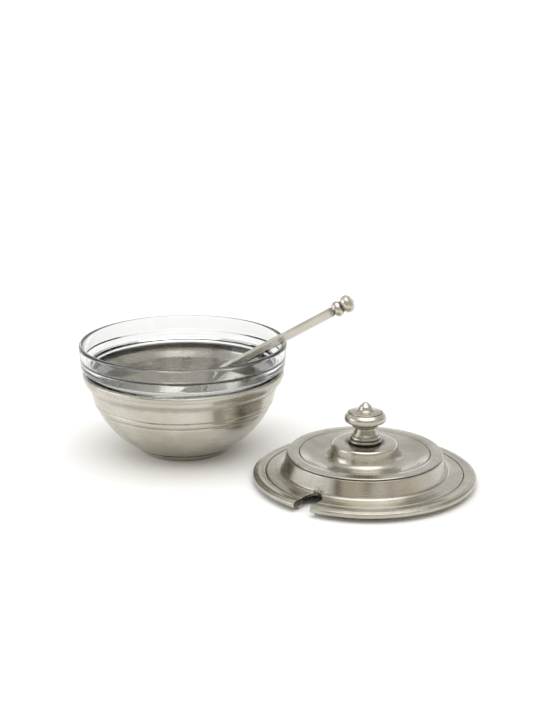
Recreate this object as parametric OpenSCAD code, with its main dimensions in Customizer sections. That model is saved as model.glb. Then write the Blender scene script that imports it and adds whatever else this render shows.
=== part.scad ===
// Lidded condiment pot. A clear glass bowl stands loose in a pewter holder, a
// pewter lid with a spoon notch lies on the table beside it, and a pewter spoon
// leans in the glass with its handle over the rim.
// Millimetres. The origin is the centre of the holder's foot on the table:
// +X to the side where the lid lies, +Y to the back, +Z up.

/* [Glass bowl] */
// Outer diameter of the glass rim
glass_d = 105; // [104.6:0.1:106]
// Height of the glass rim above the table
glass_top = 56.6; // [56.4:0.1:58]
// Height of the straight band under the rim
band_h = 11.4; // [10.6:0.1:11.8]
// Thickness of the glass wall
glass_wall = 2.6; // [2.2:0.1:2.9]

/* [Pewter holder] */
// Outer radius of the round body
body_r = 49.3; // [49:0.1:49.5]
// Height of the body's centre above the table
body_z = 45.6; // [45.4:0.1:45.8]
// Height of the lip above the table
lip_z = 42; // [41.8:0.1:42.1]
// Outer radius of the lip
lip_r = 51.1; // [50.9:0.1:51.4]
// Thickness of the pewter wall
pewter_wall = 1.2; // [1:0.1:1.3]
// Height of the foot
foot_h = 3.8; // [3.4:0.1:4.2]

/* [Lid] */
// Outer diameter of the lid
lid_d = 107.4; // [107:0.1:109]
// Distance of the lid's centre to the right of the bowl's centre
lid_x = 89.2; // [88:0.2:120]
// Distance of the lid's centre in front of the bowl's centre
lid_y = 48.1; // [48:0.2:70]
// Thickness of the lid's sheet
lid_sheet = 1.3; // [1.2:0.1:1.6]
// Width of the notch for the spoon
notch_w = 8.8; // [7:0.2:10]
// Direction of the notch from the lid's centre, in degrees
notch_angle = 234; // [0:1:359]
// Height of the knob above the top of the lid
knob_h = 20; // [19:0.2:22]

/* [Spoon] */
// Length of the spoon's bowl
scoop_l = 38; // [34:1:40]
// Width of the spoon's bowl
scoop_w = 27; // [24:1:28]
// Depth of the spoon's bowl
scoop_h = 8; // [7:0.5:8]
// Length from the spoon's bowl to the finial
handle_l = 76; // [66:1:84]
// Slope of the handle as it leans in the glass, in degrees
lean = 30; // [28:0.5:30]

/* [Hidden] */
$fn = 96;

PEWTER = [0.70, 0.69, 0.65];
PEWTER_DARK = [0.60, 0.59, 0.55];
STEEL = [0.78, 0.78, 0.80];
GLASS = [0.80, 0.90, 0.92, 0.45];

// Points of a round stretch about (cx, cz), from angle a0 to a1
function arc(cx, cz, r, a0, a1, n = 8) =
    [for (i = [0:n]) let (a = a0 + (a1 - a0) * i / n) [cx + r * cos(a), cz + r * sin(a)]];

// Angle, about the body's centre, of the point of a sphere of radius r at height z
function sphere_angle(r, z) = asin((z - body_z) / r);

// Radius, at height z, of a sphere of radius r about the body's centre
function sphere_r(r, z) = sqrt(r * r - (z - body_z) * (z - body_z));

// ---- Holder ----

groove_low_z = 24.3;            // lower incised line
groove_high_z = 27.6;           // upper incised line, foot of the plain band
band_top_z = 34;                // top of the plain band, where the lip's cove starts
band_top_r = 47.5;              // radius of the band there
inner_r = body_r - pewter_wall; // inside of the round body
floor_t = 1.6;                  // thickness of the holder's floor
holder_floor = foot_h + floor_t;

module holder_shell() {
    lip_round = 0.9;            // rounding of the lip's top edge
    lip_in = lip_r - 2.1;       // inside of the lip
    rotate_extrude()
        polygon(concat(
            [[0, foot_h]],
            arc(0, body_z, body_r, sphere_angle(body_r, foot_h), sphere_angle(body_r, groove_high_z), 22),
            [[band_top_r, band_top_z]],
            arc(band_top_r + 0.4, band_top_z + 3.2, 2.6, -86, -38, 4),
            arc(lip_r - lip_round, lip_z - lip_round, lip_round, 0, 90, 5),
            arc(lip_in + 0.5, lip_z - 0.5, 0.5, 90, 180, 3),
            [[lip_in, lip_z - 3.4],
             [band_top_r - pewter_wall + 0.3, band_top_z + 0.2]],
            arc(0, body_z, inner_r, sphere_angle(inner_r, groove_high_z),
                sphere_angle(inner_r, holder_floor), 22),
            [[0, holder_floor]]));
}

module incised_line(z, r) {
    line_r = 0.45;
    rotate_extrude() translate([r + line_r * 0.35, z]) circle(r = line_r, $fn = 16);
}

module holder_bowl() {
    color(PEWTER) difference() {
        holder_shell();
        incised_line(groove_low_z, sphere_r(body_r, groove_low_z));
        incised_line(groove_high_z, sphere_r(body_r, groove_high_z));
    }
}

// Turned foot soldered under the bowl, with a fine line where the two meet
module foot() {
    base_r = 21.4;
    edge_r = 1.2;
    top_r = sphere_r(body_r, foot_h);
    line_r = 0.3;
    color(PEWTER_DARK) difference() {
        rotate_extrude()
            polygon(concat(
                [[0, 0]],
                arc(base_r, edge_r, edge_r, -90, -12, 6),
                [[base_r + 2.9, 2.1],
                 [top_r - 0.9, foot_h - 0.8],
                 [top_r, foot_h],
                 [0, foot_h]]));
        rotate_extrude() translate([top_r, foot_h - 0.2]) circle(r = line_r, $fn = 16);
    }
}

// ---- Glass ----

rim_round = 1.25;                         // half the thickness of the rounded rim
glass_r = glass_d / 2;
band_low = glass_top - band_h;            // bottom of the straight band
nest_gap = 0.6;                           // play between glass and holder
glass_out = inner_r - nest_gap;           // outside of the round part of the glass
glass_in = glass_out - glass_wall;        // inside of the round part of the glass
glass_base = holder_floor + 0.1;          // underside of the glass
glass_floor = glass_base + 3.9;           // inside floor of the glass
shoulder_r = lip_r - 2.7;                 // outside of the glass where it enters the holder
ledge_z = glass_top - 8;                  // inner ledge on which a second bowl would stack

module glass_liner() {
    band_round = 0.9;
    floor_round = 9;
    bend_z = band_top_z + 0.6;            // where the glass turns from its neck to its round part
    bend_r = sphere_r(glass_out, groove_high_z) + 1.2;
    floor_r = 17.5;                       // flat part of the inside floor
    low_z = 13;                           // where the inside wall turns into the floor
    color(GLASS) rotate_extrude()
        polygon(concat(
            [[0, glass_base]],
            arc(sphere_r(glass_out, glass_base) - 1.6, glass_base + 1.2, 1.2, -90, -45, 3),
            arc(0, body_z, glass_out, sphere_angle(glass_out, glass_base + 1.6),
                sphere_angle(glass_out, groove_high_z), 20),
            [[bend_r, bend_z],
             [shoulder_r, lip_z - 2.6],
             [shoulder_r, lip_z + 0.4]],
            arc(shoulder_r + 1.8, band_low - 1.9, 1.2, 180, 108, 4),
            arc(glass_r - 0.6 - band_round, band_low + band_round, band_round, -80, 0, 5),
            arc(glass_r - rim_round, glass_top - rim_round, rim_round, 0, 180, 12),
            [[glass_r - 2 * rim_round - 0.4, ledge_z + 1.2]],
            arc(glass_r - 2 * rim_round - 1.6, ledge_z + 1, 1.2, 0, -80, 5),
            arc(shoulder_r - 1.1, ledge_z - 1.4, 1, 100, 180, 5),
            [[shoulder_r - glass_wall, lip_z],
             [bend_r - glass_wall, bend_z + 0.6]],
            arc(0, body_z, glass_in, sphere_angle(glass_in, groove_high_z),
                sphere_angle(glass_in, low_z), 14),
            arc(floor_r, glass_floor + floor_round, floor_round, -42, -90, 6),
            [[0, glass_floor]]));
}

// ---- Lid, drawn about its own axis with its lowest edge at z = 0 ----

lid_r = lid_d / 2;
brim_top = 5.4;                 // top of the flat brim
brim_line_r = 47.6;             // incised line on the brim
cove_out_r = 42;                // where the brim turns up into the riser
cove_r = 2.4;                   // radius of the cove at the riser's foot
ring_r = 37.5;                  // outer radius of the flat ring on top of the riser
ring_top = 15.1;
ring_line_r = 31.4;             // incised line inside the flat ring
dish_z = 12;                    // lowest height of the dished top
dish_mid_r = 21;                // radius at which the dish is lowest
dish_bend = 20;                 // radius of the dish's curve
plateau_r = 15.5;
plateau_z = 20;
plateau_round = 1.8;            // rounding of the plateau's top edge
plateau_cove = 3.4;             // radius of the cove at the plateau's foot
plateau_cove_r = plateau_r + 4.3;
hole_r = 2.1;                   // hole for the knob's screw
plug_r = 49.2;                  // outer radius of the ring that locates the lid in the glass
plug_t = 2.8;
plug_top = 1.9;                 // underside of the thick brim
notch_in_r = 39.8;              // inner end of the notch

module at_lid() {
    translate([lid_x, -lid_y, 0]) children();
}

module notch() {
    rotate(notch_angle) {
        translate([notch_in_r + notch_w / 2, 0, -1]) cylinder(d = notch_w, h = plateau_z);
        translate([notch_in_r + notch_w / 2, -notch_w / 2, -1]) cube([lid_r, notch_w, plateau_z]);
    }
}

module lid_cover() {
    riser_in_r = ring_r - 1.4;            // inside of the riser's wall
    thick_r = 45.4;                       // where the thick brim starts
    color(PEWTER) at_lid() difference() {
        rotate_extrude()
            polygon(concat(
                [[hole_r, plateau_z]],
                arc(plateau_r - 1.4, plateau_z - plateau_round, plateau_round, 90, 10, 5),
                arc(plateau_cove_r, dish_z + plateau_cove, plateau_cove, 178, 262, 6),
                arc(dish_mid_r, dish_z + dish_bend, dish_bend, -93, -60, 7),
                [[ring_line_r, ring_top]],
                arc(ring_r - 0.6, ring_top - 0.6, 0.6, 90, -60, 6),
                [[ring_r - 0.5, ring_top - 1.3]],
                arc(cove_out_r, brim_top + cove_r, cove_r, 195, 270, 6),
                arc(lid_r - 1.3, brim_top - 1.3, 1.3, 90, -20, 6),
                arc(lid_r - 5.2, brim_top + 1, 4.6, -38, -80, 5),
                [[thick_r, plug_top],
                 [thick_r - 0.8, brim_top - lid_sheet],
                 [cove_out_r, brim_top - lid_sheet]],
                arc(cove_out_r, brim_top + cove_r, cove_r + lid_sheet, 268, 200, 6),
                [[riser_in_r, ring_top - lid_sheet - 1.6],
                 [riser_in_r - 1.2, ring_top - lid_sheet],
                 [ring_line_r, ring_top - lid_sheet]],
                arc(dish_mid_r, dish_z + dish_bend, dish_bend + lid_sheet, -62, -92, 6),
                arc(plateau_cove_r, dish_z + plateau_cove, plateau_cove + lid_sheet, 258, 190, 5),
                [[plateau_r - lid_sheet, plateau_z - lid_sheet - 0.8],
                 [plateau_r - lid_sheet - 0.8, plateau_z - lid_sheet],
                 [hole_r, plateau_z - lid_sheet]]));
        incised_line(brim_top + 0.2, brim_line_r);
        incised_line(ring_top + 0.2, ring_line_r - 0.1);
        notch();
    }
}

// Plain ring soldered under the brim: it drops inside the glass rim
module locating_ring() {
    color(PEWTER_DARK) at_lid() difference() {
        rotate_extrude()
            polygon(concat(
                [[plug_r - plug_t, plug_top]],
                arc(plug_r - plug_t + 0.8, 0.8, 0.8, 180, 270, 4),
                arc(plug_r - 1, 1, 1, -90, 0, 5),
                [[plug_r, plug_top]]));
        notch();
    }
}

// Turned knob: two-step collar, waist, small bead, wide bulb, cap and pointed button
module lid_knob() {
    collar_r = 8;
    collar_h = 1.7;
    second_r = 7.1;
    second_h = 3.5;
    waist_r = 4.6;
    bead_r = 6.6;
    bead_z = knob_h - 11.5;
    bulb_r = 10;
    bulb_z = knob_h - 7.6;
    bulb_round = 1.9;
    cap_r = 7.6;
    cap_z = knob_h - 5.1;
    button_r = 3.2;
    bore_r = 2;
    bore_h = 7.5;
    color(PEWTER) at_lid() translate([0, 0, plateau_z]) difference() {
        rotate_extrude()
            polygon(concat(
                [[0, 0]],
                arc(collar_r - 0.7, collar_h - 0.7, 0.7, -90, 80, 5),
                [[second_r, collar_h + 0.1]],
                arc(second_r - 0.6, second_h - 0.6, 0.6, 0, 80, 3),
                arc(waist_r + 3.4, second_h + 3, 3.4, 242, 178, 6),
                [[waist_r + 0.7, bead_z - 1]],
                arc(bead_r - 0.6, bead_z, 0.6, -60, 70, 4),
                arc(bulb_r - bulb_round, bulb_z, bulb_round, -58, 58, 7),
                [[cap_r + 0.6, cap_z],
                 [cap_r, cap_z - 0.2]],
                arc(cap_r - 0.5, cap_z + 0.1, 0.5, 0, 80, 3),
                [[button_r + 2.4, knob_h - 4.5],
                 [button_r + 0.4, knob_h - 3.7],
                 [button_r - 0.3, knob_h - 2.2],
                 [1.1, knob_h - 0.4],
                 [0, knob_h]]));
        translate([0, 0, -1]) cylinder(r = bore_r, h = bore_h + 1);
    }
}

washer_t = 0.8;
washer_r = 5;

module knob_washer() {
    color(STEEL) at_lid() translate([0, 0, plateau_z - lid_sheet - washer_t]) difference() {
        cylinder(r = washer_r, h = washer_t);
        translate([0, 0, -1]) cylinder(r = hole_r, h = washer_t + 2);
    }
}

// Pan-head screw that holds the knob from under the lid
module knob_screw() {
    shank_r = 1.9;
    head_r = 3.6;
    head_h = 2;
    head_round = 0.9;
    slot_w = 0.9;
    slot_h = 0.9;
    grip = 6.6;                  // length of the shank inside the knob
    head_top = plateau_z - lid_sheet - washer_t;
    color(STEEL) at_lid() translate([0, 0, head_top]) difference() {
        union() {
            cylinder(r = shank_r, h = washer_t + lid_sheet + grip);
            rotate_extrude()
                polygon(concat(
                    [[0, 0], [0, -head_h]],
                    arc(head_r - head_round, -head_h + head_round, head_round, -90, 0, 4),
                    [[head_r, 0]]));
        }
        translate([-head_r - 1, -slot_w / 2, -head_h - 1]) cube([2 * head_r + 2, slot_w, slot_h + 1]);
    }
}

// ---- Spoon, drawn with the rim of its bowl in z = 0 and its handle along +X ----

scoop_wall = 1.2;
bar_r = 2.45;                   // centre to corner of the six-sided bar
bar_z = 5.5;                    // height of the bar above the rim of the spoon's bowl
neck_l = 15;                    // length of the neck between bowl and bar
scoop_end = scoop_l / 2;
bar_end = scoop_end + handle_l;
spoon_turn = -6;                // direction of the handle in plan
rest_gap = 0.25;                // play where the spoon touches the glass
seat_x = -4.4;                  // centre of the spoon's bowl in the glass
// Height at which the bar's lower edge just passes over the rounded rim
seat_z = glass_top - rim_round + (rim_round + rest_gap - bar_z + bar_r) / cos(lean)
       - (glass_r - rim_round - seat_x) * tan(lean);

module at_spoon() {
    rotate(spoon_turn) translate([seat_x, 0, seat_z]) rotate([0, -lean, 0]) children();
}

module half_ellipsoid(l, w, h) {
    difference() {
        scale([l / 2, w / 2, h]) sphere(r = 1, $fn = 48);
        translate([-l, -w, 0]) cube([2 * l, 2 * w, 2 * h]);
    }
}

// One thin cross-section of the neck, as a flattened six-sided slice
module neck_slice(x, z, w, h) {
    slice_t = 0.2;
    translate([x, 0, z]) rotate([0, 90, 0])
        scale([h / 2, w / 2, 1]) cylinder(r = 1, h = slice_t, $fn = 6, center = true);
}

module spoon_stem() {
    neck_x = scoop_end - 2;      // where the neck leaves the bowl
    bar_x = neck_x + neck_l + 2; // where the plain bar starts
    color(PEWTER) at_spoon() {
        difference() {
            half_ellipsoid(scoop_l, scoop_w, scoop_h);
            half_ellipsoid(scoop_l - 2 * scoop_wall, scoop_w - 2 * scoop_wall, scoop_h - scoop_wall);
        }
        hull() {
            neck_slice(neck_x, -1.3, 7.5, 2);
            neck_slice(neck_x + 4, -0.2, 5.2, 2.6);
        }
        hull() {
            neck_slice(neck_x + 4, -0.2, 5.2, 2.6);
            neck_slice(neck_x + 10, 2.9, 4.3, 3.7);
        }
        hull() {
            neck_slice(neck_x + 10, 2.9, 4.3, 3.7);
            neck_slice(bar_x, bar_z, 2 * bar_r, 2 * bar_r);
        }
        translate([bar_x, 0, bar_z]) rotate([0, 90, 0])
            cylinder(r = bar_r, h = bar_end - bar_x, $fn = 6);
    }
}

// Turned end of the handle: a short neck, a collar bead, a waist and an end bead
module spoon_finial() {
    bead_r = 4;                  // widest part of the collar bead
    end_r = 4.6;                 // widest part of the end bead
    dimple_r = 0.6;
    dimple_h = 0.3;
    length = 11.8;
    color(PEWTER_DARK) at_spoon() translate([bar_end, 0, bar_z]) rotate([0, 90, 0]) difference() {
        rotate_extrude()
            polygon(concat(
                [[0, 0], [2, 0], [2, 0.6]],
                arc(bead_r - 2.3, 3, 2.3, -65, 65, 7),
                [[2.5, 5.8]],
                arc(end_r - 2.9, 8.7, 2.9, -62, 80, 9),
                [[0, length]]));
        translate([0, 0, length - dimple_h]) cylinder(r = dimple_r, h = 2 * dimple_h);
    }
}

holder_bowl();
foot();
glass_liner();
lid_cover();
locating_ring();
lid_knob();
knob_washer();
knob_screw();
spoon_stem();
spoon_finial();
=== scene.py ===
"""Lidded pewter condiment pot with its loose glass bowl, lid and spoon.

Outlines are in millimetres and become metres when a mesh is made. Each turned piece is one outline
spun about its own axis. Every mesh keeps the place of each vertex in that piece's own frame, in
metres, as the attribute "own", so that its material's lines follow the turning wherever it lies.
"""
import math

import bmesh
import bpy
from mathutils import Matrix, Vector, noise


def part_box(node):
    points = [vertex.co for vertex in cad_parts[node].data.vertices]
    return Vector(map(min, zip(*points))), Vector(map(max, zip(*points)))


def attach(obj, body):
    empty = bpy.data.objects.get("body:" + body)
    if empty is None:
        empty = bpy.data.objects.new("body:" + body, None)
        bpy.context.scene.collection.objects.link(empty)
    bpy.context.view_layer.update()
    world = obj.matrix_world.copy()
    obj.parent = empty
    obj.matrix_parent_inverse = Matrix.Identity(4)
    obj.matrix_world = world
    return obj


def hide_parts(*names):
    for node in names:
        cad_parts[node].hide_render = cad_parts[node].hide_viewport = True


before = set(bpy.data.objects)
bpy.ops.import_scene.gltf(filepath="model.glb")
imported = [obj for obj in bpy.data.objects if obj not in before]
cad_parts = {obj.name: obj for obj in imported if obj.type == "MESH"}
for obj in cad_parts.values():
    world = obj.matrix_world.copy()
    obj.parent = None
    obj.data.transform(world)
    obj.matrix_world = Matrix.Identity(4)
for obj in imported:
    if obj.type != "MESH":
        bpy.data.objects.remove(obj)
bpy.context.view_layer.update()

MM = 0.001
TURN = 2 * math.pi
NOISE_SEED = 7                    # unseeded, noise_vector differs from run to run
noise.seed_set(NOISE_SEED)


# ---------------------------------------------------------------- outlines

def rounded(corners, step=0.6):
    """The points, in mm, of a run of straight lines whose corners (r, z, fillet) are rounded off."""
    points = [Vector(corners[0][:2])]
    for before, corner, after in zip(corners, corners[1:], corners[2:]):
        middle = Vector(corner[:2])
        fillet = corner[2] if len(corner) > 2 else 0
        to_before = (Vector(before[:2]) - middle).normalized()
        to_after = (Vector(after[:2]) - middle).normalized()
        half = to_before.angle(to_after) / 2
        if fillet <= 0 or half > math.radians(89):
            points.append(middle)
            continue
        centre = middle + (to_before + to_after).normalized() * fillet / math.sin(half)
        start = middle + to_before * fillet / math.tan(half) - centre
        sweep = start.angle_signed(middle + to_after * fillet / math.tan(half) - centre)
        turns = max(3, int(abs(sweep) * max(fillet, 0.6) / 0.25))
        for i in range(turns + 1):
            points.append(centre + Matrix.Rotation(-sweep * i / turns, 2) @ start)
    points.append(Vector(corners[-1][:2]))
    return subdivided(points, step)


def subdivided(points, step):
    """The same line with no stretch longer than step."""
    result = [points[0]]
    for a, b in zip(points, points[1:]):
        pieces = max(1, math.ceil((b - a).length / step))
        result += [a.lerp(b, i / pieces) for i in range(1, pieces + 1)]
    return result


def resampled(points, count):
    """The same line with count + 1 points at even distances."""
    lengths = [0]
    for a, b in zip(points, points[1:]):
        lengths.append(lengths[-1] + (b - a).length)
    result = []
    k = 0
    for i in range(count + 1):
        target = lengths[-1] * i / count
        while k < len(points) - 2 and lengths[k + 1] < target:
            k += 1
        stretch = lengths[k + 1] - lengths[k] or 1
        result.append(points[k].lerp(points[k + 1], min(1, (target - lengths[k]) / stretch)))
    return result


def sphere_arc(centre_z, radius, low, high, step=1.0):
    """Points on a sphere's outline between two heights, in the order given."""
    a = math.asin((low - centre_z) / radius)
    b = math.asin((high - centre_z) / radius)
    count = max(2, int(abs(b - a) * radius / step))
    angles = [a + (b - a) * i / count for i in range(count + 1)]
    return [Vector((radius * math.cos(t), centre_z + radius * math.sin(t))) for t in angles]


# ---------------------------------------------------------------- meshes

def object_from(name, mesh):
    """A new object that holds the mesh, linked to the scene."""
    obj = bpy.data.objects.new(name, mesh)
    bpy.context.scene.collection.objects.link(obj)
    return obj


def settle(mesh, patina_and_shade, placing):
    """Notes the patina and painted shade and the own-frame places of a mesh, then moves it to where it
    lies.
    """
    layer = mesh.attributes.new("patina_and_shade", "FLOAT", "POINT")
    layer.data.foreach_set("value", patina_and_shade)
    own = mesh.attributes.new("own", "FLOAT_VECTOR", "POINT")
    own.data.foreach_set("vector", [c for vertex in mesh.vertices for c in vertex.co])
    mesh.transform(placing)


def shade(mesh, sharp_angle=50):
    """Smooth shading with edges kept crisp where the surface turns hard."""
    build = bmesh.new()
    build.from_mesh(mesh)
    bmesh.ops.recalc_face_normals(build, faces=build.faces)
    for face in build.faces:
        face.smooth = True
    for edge in build.edges:
        if len(edge.link_faces) == 2 and edge.calc_face_angle(0) > math.radians(sharp_angle):
            edge.smooth = False
    build.to_mesh(mesh)
    build.free()


WAVE = 12                         # distance, in mm, over which the unevenness changes
SEED_STEP = (7.3, 3.1, 5.7)       # how far apart the unevenness of two seeds lies


def worn(point, seed, amount):
    """Slow hand-made unevenness: a small shift of about this amount, in mm."""
    place = Vector(point) / WAVE + Vector([seed * step for step in SEED_STEP])
    return noise.noise_vector(place) * amount


def patina_and_shade_at(r, z, marks):
    """How much dark patina and painted shade the point (r, z) holds, from marks of (r, z, width,
    strength).
    """
    best = 0
    for mark_r, mark_z, width, strength in marks:
        away = ((r - mark_r) ** 2 + (z - mark_z) ** 2) / width ** 2
        if away < 6:
            best = max(best, strength * math.exp(-away))
    return best


def lathe(name, outline, segments=256, placing=Matrix(), seed=1, wear=0.05, marks=()):
    """Spins an outline of (r, z) points about Z. It starts and ends on the axis."""
    points, faces, patina_and_shade, rings = [], [], [], []
    for r, z in outline:
        count = 1 if r < 1e-6 else segments
        rings.append((len(points), count))
        for j in range(count):
            angle = TURN * j / segments
            point = Vector((r * math.cos(angle), r * math.sin(angle), z))
            points.append((point + worn(point, seed, wear)) * MM)
            patina_and_shade.append(patina_and_shade_at(r, z, marks))
    for (a, count_a), (b, count_b) in zip(rings, rings[1:]):
        if count_a == 1 and count_b == 1:
            continue
        for j in range(segments):
            k = (j + 1) % segments
            loop = [a + (j if count_a > 1 else 0), a + (k if count_a > 1 else 0),
                    b + (k if count_b > 1 else 0), b + (j if count_b > 1 else 0)]
            faces.append(list(dict.fromkeys(loop)))
    return finished(name, points, faces, patina_and_shade, placing)


def finished(name, points, faces, patina_and_shade, placing):
    """The object made of these points, in metres, with its patina and painted shade noted, placed and
    shaded.
    """
    mesh = bpy.data.meshes.new(name)
    mesh.from_pydata(points, [], faces)
    settle(mesh, patina_and_shade, placing)
    shade(mesh)
    return object_from(name, mesh)


def keep_inside(obj, node):
    """Holds a piece within its CAD node's box."""
    low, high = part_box(node)
    for vertex in obj.data.vertices:
        for i in range(3):
            vertex.co[i] = min(max(vertex.co[i], low[i]), high[i])


# ---------------------------------------------------------------- materials

class Nodes:
    """Short calls that add and link shader nodes."""

    def __init__(self, owner, shader="Principled BSDF"):
        owner.use_nodes = True
        self.owner = owner
        self.tree = owner.node_tree
        self.shader = self.tree.nodes[shader]

    def add(self, kind, **settings):
        node = self.tree.nodes.new(kind)
        for key, value in settings.items():
            setattr(node, key, value)
        return node

    def plug(self, value, socket):
        if isinstance(value, bpy.types.NodeSocket):
            self.tree.links.new(value, socket)
        else:
            socket.default_value = value

    def math(self, operation, a, b=0.0, clamp=False):
        node = self.add("ShaderNodeMath", operation=operation, use_clamp=clamp)
        self.plug(a, node.inputs[0])
        self.plug(b, node.inputs[1])
        return node.outputs[0]

    def mix(self, factor, a, b):
        node = self.add("ShaderNodeMix", data_type="RGBA")
        self.plug(factor, node.inputs[0])
        self.plug(a, node.inputs[6])
        self.plug(b, node.inputs[7])
        return node.outputs[2]

    def remap(self, value, low, high, to_low, to_high):
        node = self.add("ShaderNodeMapRange")
        for socket, number in zip(node.inputs, (value, low, high, to_low, to_high)):
            self.plug(number, socket)
        return node.outputs[0]

    def smooth(self, value, low, high):
        node = self.add("ShaderNodeMapRange", interpolation_type="SMOOTHSTEP")
        for socket, number in zip(node.inputs, (value, low, high)):
            self.plug(number, socket)
        return node.outputs[0]

    def noise(self, vector, scale, detail=3.0, rough=0.5):
        node = self.add("ShaderNodeTexNoise")
        self.plug(vector, node.inputs["Vector"])
        node.inputs["Scale"].default_value = scale
        node.inputs["Detail"].default_value = detail
        node.inputs["Roughness"].default_value = rough
        return node.outputs[0]

    def combine(self, x, y, z):
        node = self.add("ShaderNodeCombineXYZ")
        for socket, number in zip(node.inputs, (x, y, z)):
            self.plug(number, socket)
        return node.outputs[0]

    def bump(self, height, strength, distance, normal=None):
        node = self.add("ShaderNodeBump")
        node.inputs["Strength"].default_value = strength
        node.inputs["Distance"].default_value = distance
        self.plug(height, node.inputs["Height"])
        if normal is not None:
            self.plug(normal, node.inputs["Normal"])
        return node.outputs[0]


# the dark colour of patina in hollows, also used for shade painted under the lid and round the knob's foot
PATINA_AND_SHADE_TONE = (0.045, 0.038, 0.030, 1)
SPECK_TONE = (0.30, 0.28, 0.25, 1)


def pewter(name, tone, along="turned", roughness=0.22, lines=1.0):
    """Satin pewter: turning or drawing lines, cloudy polish, small knocks, and dark patina that also
    carries painted shade.
    """
    n = Nodes(bpy.data.materials.new(name))
    place = n.add("ShaderNodeAttribute", attribute_name="own").outputs["Vector"]
    parts = n.add("ShaderNodeSeparateXYZ")
    n.plug(place, parts.inputs[0])
    x, y, z = parts.outputs
    if along == "turned":
        radius = n.math("SQRT", n.math("ADD", n.math("MULTIPLY", x, x), n.math("MULTIPLY", y, y)))
        angle = n.math("MULTIPLY", n.math("ARCTAN2", y, x), 0.0012)
        line_place = n.combine(radius, z, angle)
    else:
        line_place = n.combine(n.math("MULTIPLY", x, 0.03), y, z)
    turning = n.noise(line_place, 1900, 4, 0.65)
    clouds = n.noise(place, 48, 5, 0.65)
    specks = n.noise(place, 900, 2, 0.5)
    # this attribute holds patina and also painted shade, as set by each piece's marks
    patina_and_shade = n.add("ShaderNodeAttribute", attribute_name="patina_and_shade").outputs["Fac"]
    breaks = n.remap(n.noise(place, 420, 3, 0.6), 0.3, 0.7, 0.75, 1.1)
    broken = n.math("MULTIPLY", patina_and_shade, breaks, clamp=True)

    warm = (0.480 * tone, 0.452 * tone, 0.388 * tone, 1)
    light = (0.615 * tone, 0.592 * tone, 0.532 * tone, 1)
    clean = n.mix(n.remap(clouds, 0.35, 0.65, 0, 1), warm, light)
    spotted = n.mix(n.remap(specks, 0.70, 0.80, 0, 0.35), clean, SPECK_TONE)
    n.plug(n.mix(broken, spotted, PATINA_AND_SHADE_TONE), n.shader.inputs["Base Color"])
    polish = n.math("ADD", n.remap(clouds, 0.3, 0.7, roughness - 0.05, roughness + 0.07),
                    n.remap(turning, 0.3, 0.7, -0.03, 0.04))
    n.plug(n.math("ADD", polish, n.math("MULTIPLY", broken, 0.25)), n.shader.inputs["Roughness"])
    n.shader.inputs["Metallic"].default_value = 1.0

    fine = n.bump(turning, 0.22 * lines, 0.00006)
    soft = n.bump(n.noise(place, 190, 2, 0.5), 0.12, 0.00025, fine)
    knocks = n.bump(n.remap(specks, 0.62, 0.80, 0, -1), 0.25, 0.00008, soft)
    n.plug(knocks, n.shader.inputs["Normal"])
    return n.owner


def clear_glass():
    """Pressed soda glass with the faint waviness of the mould."""
    n = Nodes(bpy.data.materials.new("clear_glass"))
    place = n.add("ShaderNodeTexCoord").outputs["Object"]
    n.plug(n.mix(n.remap(n.noise(place, 40, 2), 0.3, 0.7, 0, 1), (0.825, 0.835, 0.845, 1),
                 (0.855, 0.865, 0.87, 1)), n.shader.inputs["Base Color"])
    n.plug(n.remap(n.noise(place, 260, 3), 0.4, 0.75, 0.0, 0.035), n.shader.inputs["Roughness"])
    n.shader.inputs["Transmission Weight"].default_value = 1.0
    n.shader.inputs["IOR"].default_value = 1.5
    n.plug(n.bump(n.noise(place, 75, 2), 0.10, 0.0005), n.shader.inputs["Normal"])
    return n.owner


def plain_steel():
    """Bright turned steel for the hidden screw and washer."""
    n = Nodes(bpy.data.materials.new("fixing_steel"))
    place = n.add("ShaderNodeTexCoord").outputs["Object"]
    grain = n.noise(place, 1400, 3, 0.6)
    n.plug(n.mix(grain, (0.55, 0.55, 0.56, 1), (0.70, 0.70, 0.71, 1)), n.shader.inputs["Base Color"])
    n.plug(n.remap(grain, 0.3, 0.7, 0.25, 0.42), n.shader.inputs["Roughness"])
    n.shader.inputs["Metallic"].default_value = 1.0
    n.plug(n.bump(grain, 0.2, 0.00004), n.shader.inputs["Normal"])
    return n.owner


def dress(obj, material):
    """Gives the object that one material in every slot."""
    if not obj.data.materials:
        obj.data.materials.append(material)
    for i in range(len(obj.data.materials)):
        obj.data.materials[i] = material


def piece(obj, material, body, slot, *nodes):
    """Puts a made piece in the place of its CAD nodes, with its material and body. The slot is not used.
    """
    dress(obj, material)
    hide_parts(*nodes)
    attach(obj, body)


# ---------------------------------------------------------------- holder

BODY_Z, BODY_R = 45.6, 49.3       # the round body is part of this sphere
WALL = 1.2                        # thickness of the pewter wall
FOOT_H = 3.8
FLOOR_Z = FOOT_H + 1.6            # inside floor of the holder
LIP_Z, LIP_R = 42.0, 51.1
LIP_IN = LIP_R - 2.1              # inside of the lip


def sphere_r(z, radius=BODY_R):
    """Radius at height z of a sphere about the body's centre."""
    return math.sqrt(radius ** 2 - (z - BODY_Z) ** 2)


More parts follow.
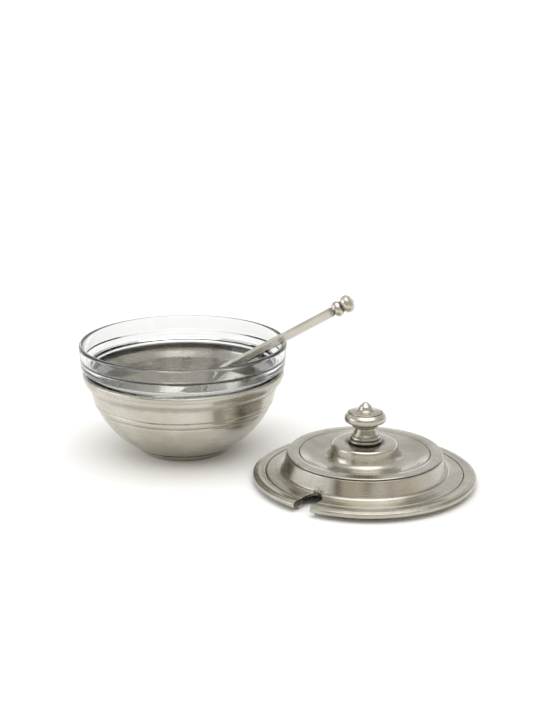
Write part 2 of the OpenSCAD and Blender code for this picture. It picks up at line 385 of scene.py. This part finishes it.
def make_holder():
    low_line, bead_z, high_line = 24.3, 25.95, 27.6
    outside = sphere_arc(BODY_Z, BODY_R, FOOT_H, low_line - 0.5)
    bead = rounded([
        (sphere_r(low_line - 0.5), low_line - 0.5),
        (sphere_r(low_line) - 0.42, low_line, 0.18),
        (sphere_r(low_line + 0.5) + 0.05, low_line + 0.5, 0.3),
        (sphere_r(bead_z) + 0.30, bead_z, 1.5),
        (sphere_r(high_line - 0.45) + 0.05, high_line - 0.45, 0.3),
        (sphere_r(high_line) - 0.38, high_line, 0.18),
        (sphere_r(high_line + 0.45) + 0.05, high_line + 0.45, 0.3),
        (47.45, 33.6, 1.4),
        (47.9, 34.9, 1.6),
        (50.2, 37.4, 2.2),
        (50.55, 39.2, 0.5),
        (LIP_R, 39.9, 0.5),
        (LIP_R, LIP_Z, 0.9),
        (LIP_IN, LIP_Z, 0.5),
        (LIP_IN, 38.6, 1.0),
        (46.6, 34.2, 2.0),
        (sphere_r(28.5, BODY_R - WALL) + 0.1, 28.5, 2.0),
        (sphere_r(26, BODY_R - WALL), 26),
    ], 0.5)
    inside = sphere_arc(BODY_Z, BODY_R - WALL, 25.5, FLOOR_Z + 0.4)
    outline = [Vector((0, FOOT_H))] + subdivided(
        [Vector((0.5, FOOT_H)), outside[0]], 1.5) + outside[1:] + bead[1:] + inside
    outline += subdivided([Vector((25.5, FLOOR_Z)), Vector((1, FLOOR_Z))], 1.5) + [Vector((0, FLOOR_Z))]
    marks = [(sphere_r(low_line) - 0.3, low_line, 0.32, 0.42),
             (sphere_r(high_line) - 0.3, high_line, 0.32, 0.30),
             (47.7, 34.5, 0.7, 0.25),
             (LIP_IN, 41, 1.6, 0.55),
             (sphere_r(FOOT_H + 0.1), FOOT_H + 0.1, 0.45, 0.75)]
    return lathe("holder_shell", outline, seed=3, wear=0.10, marks=marks)


def make_foot():
    top_r = sphere_r(FOOT_H)
    outline = [Vector((0, 0.15))] + rounded([
        (0.5, 0.15), (17.6, 0.15, 0.3), (18.2, 0, 0.4), (21.7, 0, 0.9), (22.7, 0.8, 0.8),
        (24.5, 2.3, 1.5), (top_r - 0.55, FOOT_H - 0.55, 0.2), (top_r - 0.75, FOOT_H - 0.3, 0.1),
        (top_r - 0.4, FOOT_H, 0.1), (0.5, FOOT_H)], 0.9) + [Vector((0, FOOT_H))]
    marks = [(top_r - 0.6, FOOT_H - 0.3, 0.4, 0.9), (21.9, 0.2, 0.8, 0.4), (18, 0.1, 0.8, 0.5)]
    return lathe("foot_turned", outline, seed=4, wear=0.05, marks=marks)


# ---------------------------------------------------------------- glass

GLASS_R = 52.5
GLASS_TOP = 56.6
GLASS_WALL = 2.6
NEST_GAP = 0.6                    # play between the glass and the holder


def make_glass():
    outer = BODY_R - WALL - NEST_GAP
    inner = outer - GLASS_WALL
    base = FLOOR_Z + 0.1
    floor = base + 3.9

    rim = rounded([
        (sphere_r(27.4, outer), 27.4),
        (sphere_r(28.5, outer) + 0.1, 28.5, 3),
        (45.9, 34.4, 4),
        (48.3, 38.6, 2.5),
        (48.4, 43.0, 1.0),
        (50.6, 44.3, 1.6),
        (51.8, 45.2, 1.1),
        (GLASS_R, GLASS_TOP, 1.24),
        (GLASS_R - 2.5, GLASS_TOP, 1.24),
        (49.5, 49.5, 0.8),
        (47.2, 48.4, 1.2),
        (46.0, 42.0, 3),
        (43.3, 34.6, 4),
        (sphere_r(28.0, inner), 28.0, 3),
        (sphere_r(26.5, inner), 26.5),
    ], 0.5)
    outline = [Vector((0, base + 0.5))] + rounded([
        (0.5, base + 0.5), (18, base + 0.45, 1.2), (20.5, base, 0.8), (23.6, base, 1.0),
        (sphere_r(base + 1.4, outer), base + 1.4)], 0.8)
    outline += sphere_arc(BODY_Z, outer, base + 1.8, 27.0)
    outline += rim
    outline += sphere_arc(BODY_Z, inner, 25.9, 13.6)
    outline += rounded([(sphere_r(13.2, inner), 13.2), (24.6, 9.9, 9), (17, floor, 9), (0.5, floor)], 0.8)
    outline += [Vector((0, floor))]
    return lathe("glass_bowl", outline, seed=6, wear=0.03)


# ---------------------------------------------------------------- lid

NOTCH_ANGLE = math.radians(234)
NOTCH_HALF = 4.4
NOTCH_IN = 39.8
NOTCH_ROUND = 0.32                # rounding of the notch's edges
CUT_PATINA = 0.8                  # how dark the notch's cut faces are
LID_SEED, LID_WEAR = 8, 0.09      # shared, so that the lid and its ring are uneven together
PLATEAU_Z = 20.0
LID_R = 53.65
BRIM_Z = 5.4
SHEET = 1.3


def notch_half_angle(r):
    """Half the angle that the notch takes out of a circle of radius r."""
    middle = NOTCH_IN + NOTCH_HALF
    if r <= NOTCH_IN:
        return 0
    if r >= math.hypot(middle, NOTCH_HALF):
        return math.asin(NOTCH_HALF / r)
    return math.acos(min(1, (r * r + middle * middle - NOTCH_HALF ** 2) / (2 * r * middle)))


def notch_distance(along, across):
    """How far a point is from the notch's wall."""
    middle = NOTCH_IN + NOTCH_HALF
    if along >= middle:
        return abs(across) - NOTCH_HALF
    return math.hypot(along - middle, across) - NOTCH_HALF


def column_angles(segments=216):
    """Fractions of the way round, closer together beside the notch."""
    brim_r = 50
    near = [0, 0.04, 0.10, 0.17, 0.25, 0.34, 0.45, 0.58, 0.8, 1.1, 1.5]
    edge = [mm / (TURN * brim_r) for mm in near]
    start, stop = edge[-1], 1 - edge[-1]
    middle = [start + (stop - start) * i / segments for i in range(1, segments)]
    return edge + middle + [1 - e for e in reversed(edge)]


def torn(point, rough):
    """The ragged casting left at the inner end of the notch."""
    return noise.noise_vector(point / 0.9 + Vector((5, 2, 9))) * 0.35 * rough


def torn_dark(point):
    """How dark the ragged casting is at a point, in patches."""
    return max(0, min(1, 1.6 * noise.noise(point / 0.7) + 0.5))


def notched_grid(outline, seed, wear, marks):
    """Vertices of a closed outline spun from one side of the notch round to the other."""
    columns = column_angles()
    count = len(outline)
    points, patina_and_shade = [], []
    for i, (r, z) in enumerate(outline):
        way = (outline[(i + 1) % count] - outline[i - 1]).normalized()
        out = Vector((-way.y, way.x))
        half = notch_half_angle(r)
        for fraction in columns:
            angle = half + (TURN - 2 * half) * fraction
            away = notch_distance(r * math.cos(angle), r * math.sin(angle))
            lower = 0
            if away < NOTCH_ROUND:
                away = max(0, away)
                lower = NOTCH_ROUND - math.sqrt(NOTCH_ROUND ** 2 - (NOTCH_ROUND - away) ** 2)
            turned = angle + NOTCH_ANGLE
            rr, zz = r - out.x * lower, z - out.y * lower
            point = Vector((rr * math.cos(turned), rr * math.sin(turned), zz))
            rough = math.exp(-((r - NOTCH_IN) / 1.6) ** 2 - (max(0, away) / 1.2) ** 2)
            points.append((point + worn(point, seed, wear) + torn(point, rough)) * MM)
            patina_and_shade.append(max(patina_and_shade_at(r, z, marks), torn_dark(point) * rough))
    return points, patina_and_shade, len(columns)


def grid_faces(rows, columns):
    """Quads between the rows of a grid whose last row joins its first."""
    faces = []
    for i in range(rows):
        a, b = i * columns, (i + 1) % rows * columns
        faces += [(a + j, a + j + 1, b + j + 1, b + j) for j in range(columns - 1)]
    return faces


def weld(obj, distance=0.02 * MM):
    """Joins the points that lie together where the notch narrows to nothing."""
    build = bmesh.new()
    build.from_mesh(obj.data)
    bmesh.ops.remove_doubles(build, verts=build.verts, dist=distance)
    bmesh.ops.dissolve_degenerate(build, edges=build.edges, dist=distance / 4)
    build.to_mesh(obj.data)
    build.free()
    shade(obj.data)


def split_at(points, r):
    """Cuts an outline where it first crosses radius r."""
    for i, (a, b) in enumerate(zip(points, points[1:])):
        if (a.x - r) * (b.x - r) <= 0 and a.x != b.x:
            cut = a.lerp(b, (r - a.x) / (b.x - a.x))
            return points[:i + 1] + [cut], [cut] + points[i + 1:]


def make_lid(placing):
    plateau_under = PLATEAU_Z - SHEET - 0.1
    top = rounded([
        (2.1, PLATEAU_Z),
        (12.8, PLATEAU_Z, 3.0), (15.6, PLATEAU_Z - 0.25, 1.7),
        (16.4, 15.2, 5.0), (17.6, 12.2, 3.6), (22.0, 12.0, 5.0),
        (26.0, 12.7, 9.0), (30.6, 14.7, 3.0),
        (31.1, 14.9, 0.1), (31.35, 14.4, 0.12), (31.7, 14.95, 0.15),
        (33.5, 15.2, 3.0), (36.9, 15.0, 0.4), (37.35, 14.55, 0.2),
        (36.9, 14.1, 0.12), (37.55, 13.75, 0.25),
        (39.5, 6.9, 1.3), (40.6, 5.85, 0.9),
        (43.0, 5.4, 3.0), (47.05, 5.2, 1.0), (47.45, 4.72, 0.12), (47.85, 5.25, 0.2),
        (49.4, 5.2, 1.0), (51.2, BRIM_Z, 1.2), (52.6, 5.15, 0.25), (52.8, 4.85, 0.12),
        (53.5, 4.3, 0.7), (LID_R, 3.4),
    ], 0.45)
    under = rounded([
        (LID_R, 3.4), (LID_R - 0.3, 2.3, 0.7), (50.4, 1.9, 1.4), (46.4, 1.9, 0.5),
        (45.6, BRIM_Z - SHEET - 0.1, 0.5), (41.5, BRIM_Z - SHEET, 2.0),
        (37.6, 5.8, 2.0), (36.2, 9.5, 3.0), (35.9, 12.3, 1.0),
        (34.6, 13.4, 0.8), (31.4, 13.3, 2.0), (25.7, 11.1, 6.0), (20.5, 10.5, 5.0),
        (15.6, 10.9, 1.0), (14.6, 16.9, 1.0),
        (13.4, plateau_under, 0.8), (2.1, plateau_under),
    ], 0.7)
    top_in, top_out = split_at(top, NOTCH_IN)
    under_out, under_in = split_at(under, NOTCH_IN)
    rows_out = 110
    top_out = resampled(top_out, rows_out)
    under_out = resampled(under_out, rows_out)
    outline = top_in[:-1] + top_out + under_out[1:] + under_in[1:]
    # (39.65, 6.5) is patina in the riser's cove, made darker as painted shade that dims the cove's
    # highlight.
    # (50.0, 1.9) and (45.6, 2.8) are painted shade under the brim. The rest are patina in the grooves.
    # (53.0, 4.75) is painted shade that dims the highlight on the brim's outer face.
    # (8.4, PLATEAU_Z) is painted shadow and reflection of the knob on the plateau, over patina round its
    # foot.
    marks = [(31.35, 14.5, 0.36, 0.98), (36.9, 14.1, 0.50, 1.0), (47.45, 4.8, 0.40, 0.98),
             (18.6, 12.6, 1.2, 0.15), (8.4, PLATEAU_Z, 1.25, 0.85), (39.65, 6.5, 0.42, 0.80),
             (53.0, 4.75, 0.5, 0.42), (50.0, 1.9, 1.5, 0.3), (45.6, 2.8, 1.2, 0.5)]
    points, patina_and_shade, columns = notched_grid(outline, LID_SEED, LID_WEAR, marks)
    faces = grid_faces(len(outline), columns)
    first_top = len(top_in) - 1
    last_under = first_top + 2 * rows_out
    for side in (0, columns - 1):
        for k in range(rows_out):
            loop = [(first_top + k) * columns + side, (first_top + k + 1) * columns + side,
                    (last_under - k - 1) * columns + side, (last_under - k) * columns + side]
            loop = list(dict.fromkeys(loop))
            if len(loop) > 2:
                faces.append(loop if side else loop[::-1])
    for k in range(rows_out + 1):
        for side in (0, columns - 1):
            for row in (first_top + k, last_under - k):
                patina_and_shade[row * columns + side] = CUT_PATINA
    obj = finished("lid_spun", points, faces, patina_and_shade, placing)
    weld(obj)
    return obj


def make_locating_ring(placing):
    loop = rounded([(47.8, 1.9), (46.4, 1.9, 0.15), (46.4, 0, 0.7), (49.2, 0, 1.0), (49.2, 1.9, 0.15),
                    (47.9, 1.9)], 0.35)
    # These marks are painted shade with patina where the ring meets the brim's underside.
    marks = [(49.2, 1.8, 0.4, 0.5), (46.4, 1.5, 0.8, 0.6)]
    points, patina_and_shade, columns = notched_grid(loop, LID_SEED, LID_WEAR, marks)
    faces = grid_faces(len(loop), columns)
    faces.append([i * columns for i in range(len(loop))])
    faces.append([i * columns + columns - 1 for i in reversed(range(len(loop)))])
    return finished("lid_ring", points, faces, patina_and_shade, placing)


def make_knob(placing):
    """Drawn from its own foot up, with the blind hole for the screw."""
    knob_h, bore_h, bore_r = 20.0, 7.5, 2.0
    outline = [Vector((0, bore_h))] + rounded([
        (0.3, bore_h), (bore_r, bore_h, 0.1), (bore_r, 0, 0.1),
        (7.75, 0, 0.3), (8.1, 1.0, 0.6), (7.6, 1.75, 0.35),
        (7.05, 1.85, 0.1), (7.25, 2.7, 0.4), (6.9, 3.4, 0.3),
        (6.5, 3.5, 0.1), (5.5, 4.9, 2.4), (4.65, 6.9, 1.2),
        (4.75, 7.4, 0.3), (5.4, 7.55, 0.12), (6.2, 8.0, 0.3), (6.7, 8.8, 0.35),
        (6.4, 9.15, 0.1), (7.1, 9.3, 0.2),
        (10.1, 10.8, 1.6), (9.95, 13.3, 1.8), (8.2, 14.9, 0.35),
        (7.8, 14.5, 0.12), (7.5, 15.2, 0.3), (6.0, 15.45, 1.0),
        (4.2, 15.7, 0.7), (3.4, 16.6, 0.5), (2.9, 17.9, 1.4), (1.1, 19.5, 0.7), (0.12, knob_h)], 0.3)
    outline += [Vector((0, knob_h))]
    # (8.0, 0.3) is painted shade where the knob's foot stands on the plateau, over its patina.
    marks = [(8.0, 0.3, 1.0, 0.95), (7.6, 1.75, 0.9, 0.5), (7.1, 1.85, 0.4, 0.95),
             (6.3, 3.6, 0.6, 0.6), (5.2, 5.4, 1.8, 0.35), (5.1, 7.5, 0.45, 0.95),
             (6.45, 9.1, 0.4, 0.95), (7.85, 14.7, 0.35, 0.95), (3.7, 16.0, 0.6, 0.35)]
    outline = [point + Vector((0, PLATEAU_Z)) for point in outline]
    marks = [(r, z + PLATEAU_Z, width, strength) for r, z, width, strength in marks]
    return lathe("knob_turned", outline, placing=placing, segments=128, seed=9, wear=0.06, marks=marks)


# ---------------------------------------------------------------- spoon

SCOOP_L, SCOOP_W, SCOOP_H = 38.0, 27.0, 8.0
HANDLE_L = 76.0
BAR_R, BAR_Z = 2.45, 5.5          # the six-sided bar's corner radius, and its height over the rim
BAR_FLAT = 0.866                  # share of the corner radius at the middle of a flat side
LEAN = math.radians(30)
SPOON_TURN = math.radians(-6)
REST_GAP = 0.25
SEAT_X = -4.4
RIM_ROUND = 1.25


def spoon_matrix():
    """Places the spoon's own frame: its bowl's rim level at z = 0, its handle along +X."""
    seat_z = (GLASS_TOP - RIM_ROUND + (RIM_ROUND + REST_GAP - BAR_Z + BAR_R) / math.cos(LEAN)
              - (GLASS_R - RIM_ROUND - SEAT_X) * math.tan(LEAN))
    return (Matrix.Rotation(SPOON_TURN, 4, "Z")
            @ Matrix.Translation(Vector((SEAT_X, 0, seat_z)) * MM)
            @ Matrix.Rotation(-LEAN, 4, "Y"))


def ease(value, low, high):
    """0 below low, 1 above high and a smooth ramp between."""
    t = min(1, max(0, (value - low) / (high - low)))
    return t * t * (3 - 2 * t)


def spoon_section(x, count=28):
    """Points round the spoon at x mm along it: a crescent in the bowl, which becomes a six-sided bar."""
    wall, rim_drop, edge = 1.2, 0.3, 0.55
    along = min(1, abs(x) / (SCOOP_L / 2))
    round_off = math.sqrt(1 - along ** 2) if x < SCOOP_L / 2 else 0
    egg = 1 - 0.07 * x / SCOOP_L - 0.05 * along ** 2
    bowl_w = SCOOP_W / 2 * round_off * egg
    inner = max(0, 1 - (x / (SCOOP_L / 2 - wall)) ** 2)
    hollow = (SCOOP_H - wall) * math.sqrt(inner)

    bar = ease(x, 12, 27)
    neck_w = BAR_R * BAR_FLAT + 3.4 * (1 - ease(x, 9, 30)) * ease(x, 2, 15)
    half_w = (bowl_w ** 4 + neck_w ** 4) ** 0.25 if x > 2 else bowl_w
    middle = -1.1 + (BAR_Z + 1.1) * ease(x, 13, 34)
    half_h = 1.0 + (BAR_R - 1.0) * ease(x, 15, 32)

    def top(t):
        inside = half_w - wall
        y = abs(t) * half_w
        if inside > 0.3 and y < inside:
            bowl = -hollow * math.sqrt(1 - (y / inside) ** 2)
        else:
            bowl = -rim_drop * min(1, max(0, (y - inside) / wall)) ** 2
        return bowl + bar * (middle + half_h * (1.05 - 0.5 * math.hypot(t, 0.1)) - bowl)

    def bottom(t):
        depth = max(0, SCOOP_H * round_off - edge)
        bowl = -edge - depth * math.sqrt(max(0, 1 - t * t))
        return bowl + bar * (middle - half_h * (1.05 - 0.5 * math.hypot(t, 0.1)) - bowl)

    sides = [math.cos(math.pi * i / count) for i in range(count + 1)]
    loop = [(t, top(t)) for t in sides] + [(t, bottom(t)) for t in reversed(sides)]
    return [Vector((x, t * half_w, z)) for t, z in loop]


def make_spoon_stem():
    """One skin drawn through the sections, from the bowl's tip to the finial."""
    tip, start, stop = -SCOOP_L / 2, SCOOP_L / 2 - 1, SCOOP_L / 2 + HANDLE_L + 0.3
    far_steps, near_steps, bar_steps = 34, 40, 90
    stations = [tip * math.cos(math.pi / 2 * i / far_steps) for i in range(1, far_steps + 1)]
    stations[0] = tip + 0.03
    stations += [start * i / near_steps for i in range(1, near_steps + 1)]
    stations += [start + (stop - start) * i / bar_steps for i in range(1, bar_steps + 1)]
    points, patina_and_shade, faces = [], [], []
    for x in stations:
        section = spoon_section(x)
        mark = max(0.22 * math.exp(-((x - SCOOP_L / 2) / 4) ** 2),
                   0.7 * math.exp(-((x - SCOOP_L / 2 - HANDLE_L) / 0.9) ** 2))
        for point in section:
            points.append((point + worn(point, 12, 0.08)) * MM)
            patina_and_shade.append(mark)
    around = len(section)
    for i in range(len(stations) - 1):
        a, b = i * around, (i + 1) * around
        faces += [(a + j, a + (j + 1) % around, b + (j + 1) % around, b + j) for j in range(around)]
    faces.append(list(range(around)))
    faces.append(list(range(len(points) - around, len(points)))[::-1])
    obj = finished("spoon_cast", points, faces, patina_and_shade, spoon_matrix())
    bevel = obj.modifiers.new("worn_edges", "BEVEL")
    bevel.limit_method = "ANGLE"
    bevel.angle_limit = math.radians(32)
    bevel.width = 0.22 * MM
    bevel.segments = 2
    return obj


def make_finial():
    """Drawn from the bar's end outwards, with the small dimple in its tip."""
    dimple_z = 11.45
    outline = [Vector((0, 0))] + rounded([
        (0.3, 0), (2.15, 0, 0.1), (2.1, 0.7, 0.15), (3.2, 1.1, 0.5), (4.0, 2.4, 1.1),
        (4.0, 3.8, 1.1), (3.2, 5.1, 0.5), (2.6, 5.6, 0.2), (3.0, 6.0, 0.3), (4.2, 6.9, 1.0),
        (4.6, 8.3, 1.1), (4.3, 10.0, 1.2), (2.6, 11.4, 1.2), (1.0, 11.75, 0.3), (0.75, dimple_z, 0.1),
        (0.25, dimple_z)], 0.3)
    outline += [Vector((0, dimple_z))]
    marks = [(2.2, 0.8, 0.45, 0.9), (2.7, 5.6, 0.5, 0.9), (0.6, 11.5, 0.5, 0.8), (4.1, 3.1, 0.3, 0.1)]
    bar_end = Vector((SCOOP_L / 2 + HANDLE_L, 0, BAR_Z)) * MM
    placing = spoon_matrix() @ Matrix.Translation(bar_end) @ Matrix.Rotation(math.pi / 2, 4, "Y")
    return lathe("finial_turned", outline, placing=placing, segments=96, seed=14, wear=0.05, marks=marks)


# ---------------------------------------------------------------- studio

def flat_material(name, colour, roughness):
    """A matt surface with a barely visible mottle."""
    n = Nodes(bpy.data.materials.new(name))
    place = n.add("ShaderNodeTexCoord").outputs["Object"]
    shade_low = tuple(c * 0.985 for c in colour[:3]) + (1,)
    n.plug(n.mix(n.noise(place, 6, 3), shade_low, colour), n.shader.inputs["Base Color"])
    n.shader.inputs["Roughness"].default_value = roughness
    return n.owner


def make_floor():
    mesh = bpy.data.meshes.new("floor")
    half = 30.0
    corners = [(-half, -half, 0), (half, -half, 0), (half, half, 0), (-half, half, 0)]
    mesh.from_pydata(corners, [], [(0, 1, 2, 3)])
    floor = object_from("studio_floor", mesh)
    dress(floor, flat_material("studio_floor", (0.95, 0.95, 0.95, 1), 0.9))


def soft_light(name, place, aim, size, power):
    """A rectangular softbox at one place, aimed at another."""
    data = bpy.data.lights.new(name, "AREA")
    data.shape = "RECTANGLE"
    data.size, data.size_y = size
    data.energy = power
    obj = bpy.data.objects.new(name, data)
    obj.location = place
    obj.rotation_euler = (Vector(aim) - Vector(place)).to_track_quat("-Z", "Y").to_euler()
    bpy.context.scene.collection.objects.link(obj)


def overhead(name, strength, width, tilt):
    """A large softbox far overhead, as wide as an angle in degrees and tilted to the back and left."""
    data = bpy.data.lights.new(name, "SUN")
    data.energy = strength
    data.angle = math.radians(width)
    obj = bpy.data.objects.new(name, data)
    obj.rotation_euler = [math.radians(a) for a in tilt] + [0]
    bpy.context.scene.collection.objects.link(obj)


def make_world():
    """A white studio: brightest behind the object, warmer and dimmer round the camera, with the
    dark gaps between its softboxes. Directions are azimuths from the camera's side, right positive."""
    world = bpy.data.worlds.new("studio")
    bpy.context.scene.world = world
    n = Nodes(world, "Background")
    parts = n.add("ShaderNodeSeparateXYZ")
    n.plug(n.add("ShaderNodeTexCoord").outputs["Generated"], parts.inputs[0])
    x, y, z = parts.outputs
    azimuth = n.math("ARCTAN2", x, n.math("MULTIPLY", y, -1.0))
    height = n.math("ARCSINE", z)

    def window(value, low, high, soft):
        rise = n.smooth(value, math.radians(low - soft), math.radians(low + soft))
        fall = n.smooth(value, math.radians(high - soft), math.radians(high + soft))
        return n.math("SUBTRACT", rise, fall)

    def area(low, high, bottom, top, soft):
        return n.math("MULTIPLY", window(azimuth, low, high, soft), window(height, bottom, top, soft))

    behind = n.smooth(y, -0.25, 0.4)
    colour = n.mix(behind, (0.76, 0.71, 0.62, 1), (0.80, 0.79, 0.77, 1))
    glow = n.math("MULTIPLY", n.smooth(y, 0.3, 0.7), n.math("SUBTRACT", 1.0, n.smooth(height, 0.14, 0.26)))
    colour = n.mix(glow, colour, (1.4, 1.4, 1.39, 1))
    colour = n.mix(area(-130, -46, -20, 42, 5), colour, (0.98, 0.98, 0.97, 1))
    colour = n.mix(n.smooth(z, 0.6, 0.95), colour, (0.95, 0.95, 0.95, 1))
    for gap, dark in ((area(-46, -36, -20, 40, 2), 0.92), (area(-5, 5, 6, 24, 2), 0.75),
                      (area(28, 40, -20, 40, 4), 0.35), (area(96, 110, -20, 40, 4), 0.4)):
        colour = n.mix(n.math("MULTIPLY", gap, dark), colour, (0.12, 0.10, 0.075, 1))
    n.plug(colour, n.shader.inputs[0])


def make_camera():
    data = bpy.data.cameras.new("camera")
    data.lens = 71
    data.sensor_width = 36
    data.clip_end = 50
    camera = bpy.data.objects.new("camera", data)
    camera.location = (0.0421, -0.6807, 0.2471)
    camera.rotation_euler = (math.radians(90 - 16.22), 0, 0)
    bpy.context.scene.collection.objects.link(camera)
    bpy.context.scene.camera = camera


# ---------------------------------------------------------------- assembly

make_camera()
make_world()
make_floor()
soft_light("left_softbox", (-1.3, -0.15, 0.6), (0.03, 0, 0.03), (0.9, 0.7), 3.0)
overhead("overhead_softbox", 1.15, 56, (10, 4))

knob_low, knob_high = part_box("lid_knob")
lid_place = Matrix.Translation(((knob_low.x + knob_high.x) / 2, (knob_low.y + knob_high.y) / 2, 0))

holder_pewter = pewter("holder_pewter", 0.96)
lid_pewter = pewter("lid_pewter", 0.87)
knob_pewter = pewter("knob_pewter", 0.88, roughness=0.20, lines=0.7)
spoon_pewter = pewter("spoon_pewter", 1.02, along="drawn", roughness=0.24)
spoon_pewter_turned = pewter("spoon_end_pewter", 1.0, roughness=0.20, lines=0.7)
glass = clear_glass()
steel = plain_steel()

for make, node, body, slot, material in (
        (make_holder, "holder_bowl", "holder", "holder_pewter", holder_pewter),
        (make_foot, "foot", "holder", "holder_pewter", holder_pewter),
        (make_glass, "glass_liner", "liner", "clear_glass", glass)):
    made = make()
    keep_inside(made, node)
    piece(made, material, body, slot, node)
for make, node, slot, material in (
        (make_lid, "lid_cover", "lid_pewter", lid_pewter),
        (make_locating_ring, "locating_ring", "lid_pewter", lid_pewter),
        (make_knob, "lid_knob", "knob_pewter", knob_pewter)):
    made = make(lid_place)
    keep_inside(made, node)
    piece(made, material, "lid", slot, node)
for make, node, material in (
        (make_spoon_stem, "spoon_stem", spoon_pewter),
        (make_finial, "spoon_finial", spoon_pewter_turned)):
    made = make()
    keep_inside(made, node)
    piece(made, material, "spoon", "spoon_pewter", node)
for node in ("knob_washer", "knob_screw"):
    dress(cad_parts[node], steel)

bpy.context.scene.view_settings.view_transform = "Standard"
